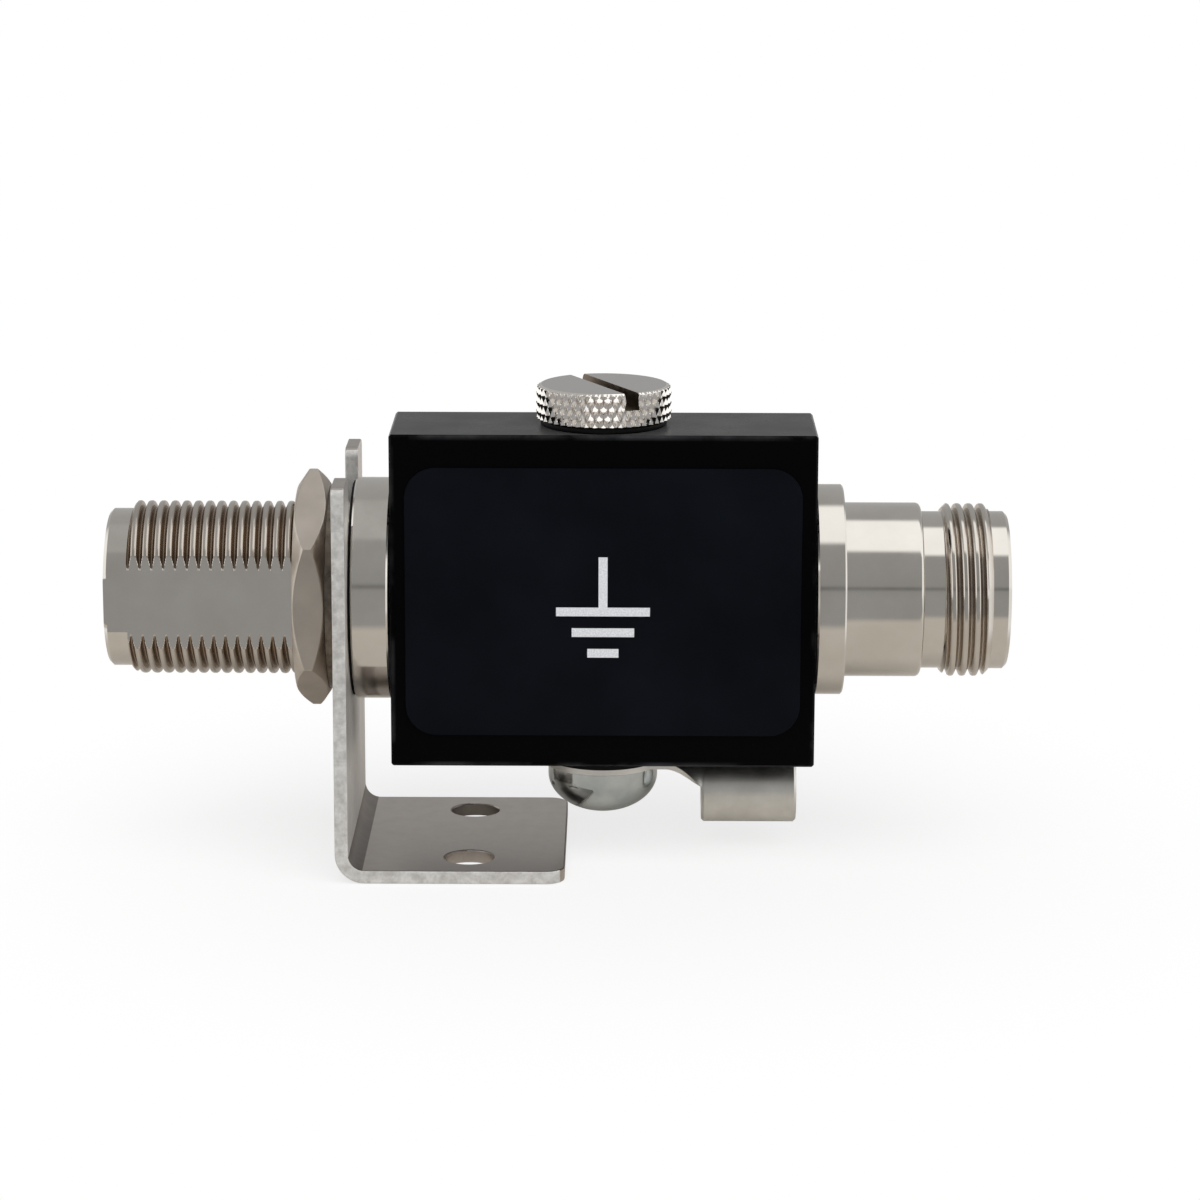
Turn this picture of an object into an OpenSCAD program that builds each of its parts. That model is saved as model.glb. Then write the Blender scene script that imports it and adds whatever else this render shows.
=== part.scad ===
// Coaxial lightning arrestor: a black block that holds a gas tube under a slotted cap,
// with a threaded bulkhead jack on a slotted L bracket, a plain jack and a grounding lug.
// The origin is midway between the bracket's two holes, on the foot's underside.
// X runs along the coaxial line towards the plain jack and Z points up.

/* [Block] */
// Length of the block along the line
block_len = 38.2; // [36:0.1:46]
// Depth of the block, front to back
block_dep = 12; // [11.6:0.1:16]
// Height of the block
block_hgt = 30.4; // [28.8:0.1:36]
// Chamfer along the block's edges
block_chamfer = 0.2; // [0.1:0.05:0.6]
// Radius of the line bore through block and jacks
line_bore_r = 4.05; // [3.7:0.05:4.2]

/* [Label plate] */
// Thickness of the label plate
label_t = 0.2; // [0.1:0.05:0.4]
// Margin between the label plate and the block's ends
label_margin_x = 1.35; // [0.8:0.05:3]
// Margin between the label plate and the block's top and bottom
label_margin_z = 2.95; // [1:0.05:5]
// Corner radius of the label plate
label_r = 2.8; // [0.5:0.1:5]

/* [Jack fronts] */
// Radius of the coupling threads over their crests
thread_r = 7.85; // [7.7:0.01:7.95]
// Radius of the plain nose in front of each thread
nose_r = 7.15; // [6.8:0.05:7.3]
// Radius of the socket mouth
mouth_r = 4.3; // [4.25:0.05:4.6]
// Depth of the socket mouth
mouth_depth = 5; // [4:0.1:6]
// Distance from the mouth to the insulator's face
insulator_depth = 9.3; // [8:0.1:11]
// Radius of the spigot that seats in the block
spigot_r = 5; // [4.8:0.05:5.2]
// Length of the spigot that seats in the block
spigot_len = 4; // [3:0.1:5]
// Chamfer at the noses
nose_chamfer = 0.3; // [0.2:0.05:0.6]
// Chamfer at the rims of the flange, the collar and the cap
rim_chamfer = 0.15; // [0.1:0.05:0.4]

/* [Bulkhead jack] */
// Radius of the flange that clamps the panel
flange_r = 10.05; // [9.8:0.05:11]
// Thickness of the flange that clamps the panel
flange_t = 3.3; // [2.5:0.1:4]
// Free thread left of the nut
thread_free = 14.95; // [14:0.05:18]
// Length of the bulkhead jack's nose
bulkhead_nose_len = 2.1; // [1:0.1:4]
// Distance from one ridge of the bulkhead thread to the next
thread_pitch = 1.058; // [0.9:0.001:1.3]
// Depth of the bulkhead thread's grooves
thread_depth = 0.6; // [0.4:0.01:0.64]
// Width across the two flats on the thread
flats_w = 13.2; // [12.6:0.1:13.6]

/* [Plain jack] */
// Radius of the plain jack's collar
collar_r = 9.55; // [9:0.05:11]
// Thickness of the plain jack's collar
collar_t = 2.55; // [1.5:0.05:4]
// Radius of the barrel
barrel_r = 7.9; // [7.85:0.01:8.4]
// Length of the barrel
barrel_len = 7.05; // [5:0.05:10]
// Chamfer at the barrel's free end
barrel_chamfer = 0.45; // [0.1:0.05:0.5]
// Radius of the relief behind the thread
relief_r = 7.12; // [6.8:0.02:7.3]
// Length of the relief behind the thread
relief_len = 1.85; // [1:0.05:3]
// Length of the plain jack's thread
thread_len = 4.3; // [3.5:0.1:8]
// Length of the chamfer where the plain jack's thread starts
thread_lead = 0.5; // [0.3:0.05:0.8]
// Length of the plain jack's nose
plain_nose_len = 1.65; // [1:0.05:4]

/* [Nut, washer and gasket] */
// Width across the flats of the jam nut
nut_af = 19.05; // [18:0.05:22]
// Thickness of the jam nut
nut_t = 2.9; // [2:0.1:5]
// Height of the chamfer at the nut's corners
nut_chamfer = 1.1; // [0.3:0.05:1.2]
// Outer diameter of the toothed lock washer
washer_od = 18.4; // [17.8:0.1:21]
// Thickness of the lock washer
washer_t = 0.9; // [0.6:0.05:1.5]
// Number of teeth inside the lock washer
washer_teeth = 14; // [8:1:20]
// Distance that the panel gasket's rim lies inside the flange's rim
gasket_inset = 0.3; // [0.1:0.05:1.5]
// Thickness of the panel gasket
gasket_t = 0.25; // [0.2:0.05:1]

/* [Bracket] */
// Thickness of the bracket's sheet
sheet_t = 1.2; // [1:0.05:2]
// Width of the bracket
bracket_w = 24.6; // [22:0.1:30]
// Length of the foot from the leg's outer face
foot_len = 20.5; // [18:0.1:30]
// Height of the arms above the line
arm_rise = 11.6; // [9:0.1:14]
// Drop from the block's underside to the foot's underside
foot_drop = 9.2; // [8.6:0.1:14]
// Outer radius of the bend
bend_r = 2.65; // [2.2:0.05:4]
// Corner radius at the foot's free end
foot_corner_r = 1.7; // [0.5:0.1:3]
// Corner radius at the tops of the arms
arm_corner_r = 0.9; // [0.3:0.1:2]
// Distance from the leg's outer face to the holes
hole_setback = 11.85; // [9:0.05:14]
// Distance between the two holes
hole_spacing = 15.6; // [12:0.1:17]
// Radius of the holes
hole_r = 2.25; // [1.6:0.05:2.6]

/* [Gas tube cap] */
// Radius of the cap's head over the knurl
cap_r = 6.1; // [5.9:0.05:7.5]
// Height of the cap's head
cap_hgt = 3.1; // [2.4:0.1:5]
// Radius of the cap's threaded shank
cap_shank_r = 4.95; // [4.6:0.05:5.1]
// Length of the cap's threaded shank below its head
cap_shank_len = 6.75; // [6:0.05:7]
// Width of the cap's slot
cap_slot_w = 1.35; // [0.8:0.05:2]
// Depth of the cap's slot
cap_slot_depth = 1.5; // [0.8:0.1:2]
// Angle of the slot from the front to back direction
cap_slot_angle = 25.6; // [0:0.1:90]
// Outer radius of the seal under the cap
seal_r = 5.7; // [5.4:0.05:5.85]
// Thickness of the seal under the cap
seal_t = 0.55; // [0.3:0.05:1]

/* [Gas tube] */
// Radius of the gas tube's electrodes
tube_r = 4; // [3.5:0.05:4.05]
// Thickness of each electrode's rim
electrode_t = 0.9; // [0.6:0.05:1.2]
// Radius of the ceramic body
ceramic_r = 3.75; // [3.3:0.05:3.9]
// Wall of the ceramic body
ceramic_wall = 1; // [0.6:0.05:1.4]
// Height of the gas tube
tube_hgt = 6; // [5.6:0.1:6.3]
// Gap between the electrodes inside the tube
spark_gap = 0.8; // [0.5:0.05:1.2]
// Thickness of the disc spring
spring_t = 0.35; // [0.2:0.05:0.5]

/* [Centre line] */
// Radius of the rod between the jacks
rod_r = 1.75; // [1.6:0.05:2]
// Depth of the seat cut into the rod for the gas tube
rod_seat = 0.25; // [0.1:0.05:0.5]
// Radius of the socket contacts
contact_r = 1.52; // [1.4:0.02:1.6]
// Radius of the hole in each contact
contact_hole_r = 0.83; // [0.7:0.01:0.95]
// Distance that each contact's tip lies behind the socket mouth
contact_recess = 0.2; // [0.1:0.05:1]

/* [Grounding] */
// Radius of the grounding screw's head
head_r = 5; // [4:0.1:5.2]
// Height of the straight rim of the head
head_rim = 1.1; // [0.5:0.1:1.6]
// Height of the head's dome
dome_hgt = 3.45; // [2:0.05:3.6]
// Radius of the screw's shank
screw_r = 2.5; // [2:0.05:2.6]
// Depth of the screw's hole in the block
screw_depth = 9; // [6:0.1:9.6]
// Outer radius of the black washer
ground_washer_r = 5.4; // [4.5:0.1:5.9]
// Thickness of the black washer
ground_washer_t = 0.55; // [0.4:0.05:1]
// Thickness of the lug's sheet
lug_t = 0.5; // [0.4:0.05:0.85]
// Radius of the lug's ring
lug_ring_r = 5.3; // [4.5:0.1:5.8]
// Width of the lug's neck
lug_neck_w = 6; // [4:0.1:6]
// Outer radius of the lug's barrel
lug_barrel_r = 3.05; // [2.6:0.05:3.4]
// Wall of the lug's barrel
lug_wall = 0.75; // [0.5:0.05:0.9]
// Distance from the screw to the barrel's near end
lug_barrel_start = 9.05; // [8.4:0.05:11]
// Length of the lug's barrel
lug_barrel_len = 8.65; // [6:0.05:12]

/* [Clearances] */
// Radial clearance of the screwed pieces
screw_clear = 0.05; // [0.02:0.01:0.09]
// Radial clearance of pressed and seated pieces
seat_clear = 0.02; // [0.01:0.01:0.05]
// Radial clearance of washers, gasket and lug around their threads
loose_clear = 0.15; // [0.08:0.01:0.3]
// Clearance between the flats and the bracket's slot on each side
slot_clear = 0.15; // [0.05:0.05:0.3]

/* [Hidden] */
$fn = 96;
cut = 1;

// Stations along the line, measured from the block's centre
block_end = block_len / 2;
flange_left = -block_end - flange_t;
gasket_left = flange_left - gasket_t;
leg_left = gasket_left - sheet_t;
washer_left = leg_left - washer_t;
nut_left = washer_left - nut_t;
thread_left = nut_left - thread_free;
bulkhead_tip = thread_left - bulkhead_nose_len;
collar_right = block_end + collar_t;
barrel_right = collar_right + barrel_len;
relief_right = barrel_right + relief_len;
thread_right = relief_right + thread_len;
plain_tip = thread_right + plain_nose_len;
spigot_end = block_end - spigot_len;

// Place of the block's centre in the part's frame
block_x = -leg_left - hole_setback;
axis_h = block_hgt / 2 + foot_drop;

// Levels above and below the line
block_top = block_hgt / 2;
block_bottom = -block_hgt / 2;
cap_base = block_top + seal_t;
shank_end = cap_base - cap_shank_len;
tube_seat = rod_r - rod_seat;
tube_top = tube_seat + tube_hgt;
tube_well_r = tube_r + loose_clear;
cap_bore_r = cap_shank_r + screw_clear;
tongue_top = block_bottom - ground_washer_t;
head_top = tongue_top - lug_t;
screw_tip = block_bottom + screw_depth - cut / 4;
screw_hole_r = screw_r + screw_clear;
lug_barrel_z = tongue_top - lug_barrel_r;

// Root of the bulkhead thread, slot of the bracket and the thread's bore in nut, washer and gasket
thread_root_r = thread_r - thread_depth;
slot_w = flats_w + 2 * slot_clear;
slot_floor_r = thread_r + loose_clear;
nut_bore_r = thread_r + screw_clear;
washer_bore_r = thread_r + loose_clear;

black_anodised = [0.05, 0.05, 0.06];
nickel = [0.66, 0.63, 0.58];
zinc_sheet = [0.70, 0.69, 0.68];
tin = [0.80, 0.79, 0.76];
blue_zinc = [0.72, 0.76, 0.80];
rubber = [0.04, 0.04, 0.04];
white = [0.93, 0.93, 0.90];
silver = [0.85, 0.84, 0.80];

// Moves children to the line, with the origin at the block's centre
module on_line() {
    translate([block_x, 0, axis_h]) children();
}

// Turns children so that their Z runs along the line, starting at a station
module along_line(station = 0) {
    on_line() translate([station, 0, 0]) rotate([0, 90, 0]) children();
}

module ring(outer_r, inner_r, thickness) {
    difference() {
        cylinder(r = outer_r, h = thickness);
        translate([0, 0, -cut]) cylinder(r = inner_r, h = thickness + 2 * cut);
    }
}

// Turned ridges of a thread from one station to another, as radius and station
function thread_profile(from, to) =
    let (step = sign(to - from) * thread_pitch)
    [
        for (i = [0 : floor(abs(to - from) / thread_pitch) - 1])
            each [[thread_root_r, from + i * step], [thread_r, from + (i + 0.5) * step]],
        [thread_root_r, to]
    ];

module chamfered_rect(w, h, c) {
    polygon([
        [-w / 2 + c, -h / 2], [w / 2 - c, -h / 2], [w / 2, -h / 2 + c], [w / 2, h / 2 - c],
        [w / 2 - c, h / 2], [-w / 2 + c, h / 2], [-w / 2, h / 2 - c], [-w / 2, -h / 2 + c]
    ]);
}

module rounded_rect(w, h, r) {
    square([w - 2 * r, h], center = true);
    square([w, h - 2 * r], center = true);
    for (x = [-1, 1], y = [-1, 1])
        translate([x * (w / 2 - r), y * (h / 2 - r)]) circle(r = r);
}

// Block with all edges chamfered
module chamfered_block() {
    intersection() {
        translate([0, 0, block_bottom])
            linear_extrude(block_hgt) chamfered_rect(block_len, block_dep, block_chamfer);
        rotate([90, 0, 0]) translate([0, 0, -block_dep / 2])
            linear_extrude(block_dep) chamfered_rect(block_len, block_hgt, block_chamfer);
        rotate([90, 0, 90]) translate([0, 0, -block_end])
            linear_extrude(block_len) chamfered_rect(block_dep, block_hgt, block_chamfer);
    }
}

module housing_block() {
    color(black_anodised) on_line() difference() {
        chamfered_block();
        rotate([0, 90, 0]) translate([0, 0, -block_end - cut])
            cylinder(r = line_bore_r, h = block_len + 2 * cut);
        for (side = [-1, 1])
            rotate([0, side * 90, 0]) translate([0, 0, spigot_end])
                cylinder(r = spigot_r + seat_clear, h = spigot_len + cut);
        translate([0, 0, shank_end - cut / 4]) cylinder(r = cap_bore_r, h = block_hgt);
        cylinder(r = tube_well_r, h = block_hgt);
        translate([0, 0, block_bottom - cut]) cylinder(r = screw_hole_r, h = screw_depth + cut);
    }
}

module label_plate() {
    color([0.06, 0.07, 0.10]) on_line() translate([0, -block_dep / 2, 0]) rotate([90, 0, 0])
        linear_extrude(label_t)
            rounded_rect(block_len - 2 * label_margin_x, block_hgt - 2 * label_margin_z, label_r);
}

// The bulkhead jack is turned in one piece, with two flats milled along thread and nose
module bulkhead_jack() {
    color(nickel) difference() {
        along_line() rotate_extrude() polygon([
            [line_bore_r, -spigot_end], [spigot_r, -spigot_end], [spigot_r, -block_end],
            [flange_r - rim_chamfer, -block_end], [flange_r, -block_end - rim_chamfer],
            [flange_r, flange_left + rim_chamfer], [flange_r - rim_chamfer, flange_left],
            each thread_profile(flange_left, thread_left), [nose_r, thread_left],
            [nose_r, bulkhead_tip + nose_chamfer], [nose_r - nose_chamfer, bulkhead_tip],
            [mouth_r, bulkhead_tip], [mouth_r, bulkhead_tip + mouth_depth],
            [line_bore_r, bulkhead_tip + mouth_depth]
        ]);
        for (side = [-1, 1])
            on_line() translate([bulkhead_tip - cut, side * (flats_w + thread_r) / 2, 0])
                translate([0, -thread_r / 2, -thread_r])
                    cube([flange_left - bulkhead_tip + cut, thread_r, 2 * thread_r]);
    }
}

module plain_jack() {
    color(nickel) along_line() rotate_extrude() polygon([
        [line_bore_r, spigot_end], [spigot_r, spigot_end], [spigot_r, block_end],
        [collar_r - rim_chamfer, block_end], [collar_r, block_end + rim_chamfer],
        [collar_r, collar_right - rim_chamfer], [collar_r - rim_chamfer, collar_right],
        [barrel_r, collar_right], [barrel_r, barrel_right - barrel_chamfer],
        [barrel_r - barrel_chamfer, barrel_right], [relief_r, barrel_right], [relief_r, relief_right],
        [thread_r, relief_right], [thread_r, thread_right - thread_lead], [nose_r, thread_right],
        [nose_r, plain_tip - nose_chamfer], [nose_r - nose_chamfer, plain_tip],
        [mouth_r, plain_tip], [mouth_r, plain_tip - mouth_depth],
        [line_bore_r, plain_tip - mouth_depth]
    ]);
}

// Both faces of the nut are chamfered, so that each flat is lens-shaped
module jam_nut() {
    corner_r = nut_af / 2 / cos(30);
    face_r = nut_af / 2 - rim_chamfer;
    chamfer = min(nut_chamfer, 0.45 * nut_t);
    color(nickel) along_line(nut_left) difference() {
        intersection() {
            cylinder(r = corner_r, h = nut_t, $fn = 6);
            rotate_extrude() polygon([
                [0, 0], [face_r, 0], [corner_r, chamfer], [corner_r, nut_t - chamfer],
                [face_r, nut_t], [0, nut_t]
            ]);
        }
        translate([0, 0, -cut]) cylinder(r = nut_bore_r, h = nut_t + 2 * cut);
    }
}

module lock_washer() {
    tooth_root_r = (washer_bore_r + washer_od / 2) / 2;
    notch_w = PI * washer_bore_r / washer_teeth;
    color(zinc_sheet) along_line(washer_left) linear_extrude(washer_t) difference() {
        circle(d = washer_od);
        circle(r = washer_bore_r);
        for (i = [0 : washer_teeth - 1])
            rotate(i * 360 / washer_teeth) translate([0, -notch_w / 2]) square([tooth_root_r, notch_w]);
    }
}

module panel_gasket() {
    color(rubber) along_line(gasket_left) ring(flange_r - gasket_inset, washer_bore_r, gasket_t);
}

// Side view of the folded sheet, with the bend's corner at the origin
module bracket_side() {
    leg_hgt = axis_h + arm_rise;
    translate([0, bend_r]) square([sheet_t, leg_hgt - bend_r]);
    translate([bend_r, 0]) square([foot_len - bend_r, sheet_t]);
    translate([bend_r, bend_r]) intersection() {
        difference() {
            circle(r = bend_r);
            circle(r = bend_r - sheet_t);
        }
        translate([-bend_r, -bend_r]) square(bend_r);
    }
}

// Plan and front outlines that round the foot's and the arms' corners
module bracket_plan() {
    translate([0, -bracket_w / 2]) square([foot_len / 2, bracket_w]);
    translate([foot_len / 2, 0]) rounded_rect(foot_len, bracket_w, foot_corner_r);
}

module bracket_front() {
    leg_hgt = axis_h + arm_rise;
    translate([-bracket_w / 2, 0]) square([bracket_w, leg_hgt / 2]);
    for (side = [-1, 1]) {
        arm_w = (bracket_w - slot_w) / 2;
        translate([side * (slot_w + arm_w) / 2, leg_hgt / 2]) rounded_rect(arm_w, leg_hgt, arm_corner_r);
    }
    translate([-slot_w / 2, 0]) square([slot_w, axis_h]);
}

// The slot is open at the top, as wide as the flats, and follows the thread at its floor
module bracket_slot() {
    intersection() {
        circle(r = slot_floor_r);
        square([slot_w, 2 * slot_floor_r], center = true);
    }
    translate([-slot_w / 2, 0]) square([slot_w, arm_rise + cut]);
}

module mounting_bracket() {
    leg_hgt = axis_h + arm_rise;
    color(zinc_sheet) difference() {
        translate([-hole_setback, 0, 0]) intersection() {
            translate([0, bracket_w / 2, 0]) rotate([90, 0, 0]) linear_extrude(bracket_w) bracket_side();
            linear_extrude(leg_hgt) bracket_plan();
            rotate([90, 0, 90]) linear_extrude(foot_len) bracket_front();
        }
        translate([-hole_setback - cut, 0, axis_h]) rotate([90, 0, 90])
            linear_extrude(sheet_t + 2 * cut) bracket_slot();
        for (side = [-1, 1])
            translate([0, side * hole_spacing / 2, -cut]) cylinder(r = hole_r, h = sheet_t + 2 * cut);
    }
}

module gas_tube_cap() {
    color(nickel) on_line() translate([0, 0, cap_base]) difference() {
        union() {
            rotate_extrude() polygon([
                [0, 0], [cap_r - rim_chamfer, 0], [cap_r, rim_chamfer], [cap_r, cap_hgt - rim_chamfer],
                [cap_r - rim_chamfer, cap_hgt], [0, cap_hgt]
            ]);
            translate([0, 0, -cap_shank_len]) cylinder(r = cap_shank_r, h = cap_shank_len);
        }
        rotate(cap_slot_angle) translate([-cap_slot_w / 2, -cap_r - cut, cap_hgt - cap_slot_depth])
            cube([cap_slot_w, 2 * (cap_r + cut), cap_slot_depth + cut]);
    }
}

module cap_seal() {
    color(rubber) on_line() translate([0, 0, block_top])
        ring(seal_r, cap_shank_r + loose_clear, seal_t);
}

// Conical disc spring between the gas tube and the cap's shank
module cap_spring() {
    foot_r = ceramic_r - loose_clear;
    top_r = foot_r / 2;
    rise = shank_end - tube_top - seat_clear;
    color(silver) on_line() translate([0, 0, tube_top]) rotate_extrude() polygon([
        [foot_r - 2 * spring_t, 0], [foot_r, 0], [foot_r, spring_t], [top_r, rise],
        [top_r - 2 * spring_t, rise], [top_r - 2 * spring_t, rise - spring_t]
    ]);
}

module tube_ceramic() {
    color(white) on_line() translate([0, 0, tube_seat + electrode_t])
        ring(ceramic_r, ceramic_r - ceramic_wall, tube_hgt - 2 * electrode_t);
}

// An electrode is a disc with a boss that reaches into the ceramic body
module electrode() {
    boss_r = ceramic_r - ceramic_wall - loose_clear;
    boss_hgt = (tube_hgt - spark_gap) / 2;
    cylinder(r = tube_r, h = electrode_t);
    cylinder(r = boss_r, h = boss_hgt);
}

module tube_upper_electrode() {
    color(silver) on_line() translate([0, 0, tube_top]) mirror([0, 0, 1]) electrode();
}

module tube_lower_electrode() {
    color(silver) on_line() translate([0, 0, tube_seat]) electrode();
}

module line_rod() {
    color(silver) difference() {
        along_line(-spigot_end) cylinder(r = rod_r, h = 2 * spigot_end);
        on_line() translate([-tube_well_r, -rod_r, tube_seat]) cube([2 * tube_well_r, 2 * rod_r, rod_r]);
    }
}

// A socket contact from the rod's end to its slit tip
module contact(length) {
    slit_w = contact_r / 5;
    slit_len = insulator_depth - mouth_depth;
    difference() {
        cylinder(r = contact_r, h = length);
        translate([0, 0, length - insulator_depth + contact_recess])
            cylinder(r = contact_hole_r, h = insulator_depth);
        for (turn = [0, 90])
            rotate(turn) translate([-slit_w / 2, -contact_r - cut, length - slit_len])
                cube([slit_w, 2 * (contact_r + cut), slit_len + cut]);
    }
}

module bulkhead_contact() {
    color(silver) on_line() rotate([0, -90, 0]) translate([0, 0, spigot_end])
        contact(-bulkhead_tip - mouth_depth - contact_recess - spigot_end);
}

module plain_contact() {
    color(silver) along_line(spigot_end) contact(plain_tip - mouth_depth - contact_recess - spigot_end);
}

module insulator(length) {
    ring(line_bore_r - seat_clear, contact_r + seat_clear, length);
}

module bulkhead_insulator() {
    color(white) on_line() rotate([0, -90, 0]) translate([0, 0, spigot_end])
        insulator(-bulkhead_tip - insulator_depth - spigot_end);
}

module plain_insulator() {
    color(white) along_line(spigot_end) insulator(plain_tip - insulator_depth - spigot_end);
}

module ground_washer() {
    color(rubber) on_line() translate([0, 0, tongue_top])
        ring(ground_washer_r, screw_r + loose_clear, ground_washer_t);
}

// Half of a barrel section, seen along the line, that the neck runs into
module barrel_arch(radius, length) {
    intersection() {
        rotate([0, 90, 0]) cylinder(r = radius, h = length, $fn = 32);
        translate([0, -radius, 0]) cube([length, 2 * radius, radius]);
    }
}

// The lug is one sheet: a ring, a neck that curls downwards, and a closed crimp barrel
module ground_lug() {
    sliver = lug_t / 10;
    neck_end = lug_ring_r + lug_t;
    inner_r = lug_barrel_r - lug_wall;
    inner_w = lug_neck_w - 2 * lug_wall;
    arch_r = lug_barrel_r - 2 * seat_clear;
    hollow_r = inner_r - 2 * seat_clear;
    color(tin) on_line() translate([0, 0, tongue_top]) difference() {
        union() {
            translate([0, 0, -lug_t]) cylinder(r = lug_ring_r, h = lug_t);
            translate([0, -lug_neck_w / 2, -lug_t]) cube([neck_end, lug_neck_w, lug_t]);
            translate([0, 0, -lug_barrel_r]) translate([lug_barrel_start, 0, 0])
                rotate([0, 90, 0]) cylinder(r = lug_barrel_r, h = lug_barrel_len);
            difference() {
                hull() {
                    translate([neck_end - sliver, -lug_neck_w / 2, -lug_t]) cube([sliver, lug_neck_w, lug_t]);
                    translate([lug_barrel_start, 0, -lug_barrel_r]) barrel_arch(arch_r, lug_wall);
                }
                hull() {
                    translate([neck_end - sliver, -inner_w / 2, -lug_t - sliver])
                        cube([sliver, inner_w, sliver]);
                    translate([lug_barrel_start, 0, -lug_barrel_r]) barrel_arch(hollow_r, 2 * lug_wall);
                    translate([neck_end, -inner_w / 2, -lug_barrel_r - cut])
                        cube([lug_barrel_start - neck_end, inner_w, sliver]);
                }
            }
        }
        translate([0, 0, -lug_t - cut]) cylinder(r = screw_r + loose_clear, h = lug_t + 2 * cut);
        translate([lug_barrel_start - cut, 0, -lug_barrel_r]) rotate([0, 90, 0])
            cylinder(r = inner_r, h = lug_barrel_len + 2 * cut);
    }
}

// Domed head with a cross recess, drawn head down as it sits under the block
module ground_screw() {
    arc_steps = 14;
    recess_w = head_r / 5;
    recess_len = 0.9 * head_r;
    recess_depth = 0.6 * dome_hgt;
    dome = [for (i = [0 : arc_steps - 1])
        let (a = 90 * i / arc_steps) [head_r * cos(a), -head_rim - dome_hgt * sin(a)]];
    head_bottom = -head_rim - dome_hgt;
    color(blue_zinc) on_line() translate([0, 0, head_top]) difference() {
        union() {
            rotate_extrude() polygon(concat([[0, 0], [head_r, 0]], dome, [[0, head_bottom]]));
            cylinder(r = screw_r, h = screw_tip - head_top);
        }
        for (turn = [45, 135])
            rotate(turn) translate([-recess_w / 2, -recess_len / 2, head_bottom - cut])
                cube([recess_w, recess_len, recess_depth + cut]);
    }
}

housing_block();
label_plate();
bulkhead_jack();
plain_jack();
jam_nut();
lock_washer();
panel_gasket();
mounting_bracket();
gas_tube_cap();
cap_seal();
cap_spring();
tube_ceramic();
tube_upper_electrode();
tube_lower_electrode();
line_rod();
bulkhead_contact();
plain_contact();
bulkhead_insulator();
plain_insulator();
ground_washer();
ground_lug();
ground_screw();
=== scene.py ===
import math

import bmesh
import bpy
from mathutils import Matrix, Vector


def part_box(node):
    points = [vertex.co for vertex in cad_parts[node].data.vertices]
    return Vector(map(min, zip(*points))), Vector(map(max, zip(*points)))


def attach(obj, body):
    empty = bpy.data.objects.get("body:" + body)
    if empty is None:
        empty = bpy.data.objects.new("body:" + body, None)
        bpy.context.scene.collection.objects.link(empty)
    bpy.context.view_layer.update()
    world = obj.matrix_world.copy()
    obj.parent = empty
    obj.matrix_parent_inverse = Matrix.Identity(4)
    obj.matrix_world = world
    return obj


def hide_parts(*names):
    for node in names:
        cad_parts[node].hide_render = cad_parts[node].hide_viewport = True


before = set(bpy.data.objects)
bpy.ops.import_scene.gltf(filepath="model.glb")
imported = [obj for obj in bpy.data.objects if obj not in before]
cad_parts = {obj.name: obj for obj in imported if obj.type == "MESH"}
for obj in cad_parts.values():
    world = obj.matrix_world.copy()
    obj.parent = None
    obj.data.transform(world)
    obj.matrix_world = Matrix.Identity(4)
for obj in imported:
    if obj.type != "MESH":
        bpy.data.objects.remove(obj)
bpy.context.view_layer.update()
scene = bpy.context.scene
mm = 0.001
weld, sliver = 2e-6, 1e-6  # metres within which points are merged and thin faces removed
usualSmooth = 32  # degrees up to which faces shade as one, unless a piece says otherwise
blockLow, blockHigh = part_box("housing_block")
blockCentre = (blockLow + blockHigh) / 2  # the coaxial line runs along X through this point

# Kinds of node that recur, and a mix node's sockets for colours
mathNode, rangeNode, mixNode = "ShaderNodeMath", "ShaderNodeMapRange", "ShaderNodeMix"
noiseNode, rampNode, bumpNode = "ShaderNodeTexNoise", "ShaderNodeValToRGB", "ShaderNodeBump"
vectorNode, splitNode, scaleNode = "ShaderNodeVectorMath", "ShaderNodeSeparateXYZ", "ShaderNodeMapping"
firstColor, secondColor, mixedColor = 6, 7, 2


# Small helpers

def hexColor(code):
    parts = [int(code[i:i + 2], 16) / 255 for i in (1, 3, 5)]
    return [c / 12.92 if c <= 0.04045 else ((c + 0.055) / 1.055) ** 2.4 for c in parts] + [1.0]


def addNode(tree, kind, inputs=(), **settings):
    node = tree.nodes.new(kind)
    for name, value in settings.items():
        setattr(node, name, value)
    for socket, value in inputs.items() if isinstance(inputs, dict) else enumerate(inputs):
        if isinstance(value, bpy.types.Node):
            value = value.outputs[0]
        if isinstance(value, bpy.types.NodeSocket):
            tree.links.new(value, node.inputs[socket])
        elif value is not None:
            node.inputs[socket].default_value = value
    return node


def connect(tree, shader, sources):
    for socket, source in sources.items():
        output = source.outputs[0] if isinstance(source, bpy.types.Node) else source
        tree.links.new(output, shader.inputs[socket])


def perMm(size):
    return 1 / (size * mm)  # texture scale that gives features of this size in millimetres


def startMaterial(name):
    material = bpy.data.materials.new(name)
    material.use_nodes = True
    tree = material.node_tree
    tree.nodes.clear()
    shader = addNode(tree, "ShaderNodeBsdfPrincipled")
    addNode(tree, "ShaderNodeOutputMaterial", [shader])
    place = addNode(tree, "ShaderNodeTexCoord").outputs["Object"]
    return material, tree, shader, place


def toBlock(*point):
    return blockCentre + Vector(point) * mm  # millimetres from the block's centre


def fromBlock(value, axis):
    return (value - blockCentre[axis]) / mm


def closeMesh(work, name):
    mesh = bpy.data.meshes.new(name)
    work.to_mesh(mesh)
    work.free()
    return mesh


def addBox(work, place, size, spin=0):
    made = bmesh.ops.create_cube(work, size=1)["verts"]
    stretch = Matrix.Diagonal([side * mm for side in size] + [1])
    turn = Matrix.Rotation(math.radians(spin), 4, "Z")
    bmesh.ops.transform(work, matrix=Matrix.Translation(place) @ turn @ stretch, verts=made)
    return made


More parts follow.
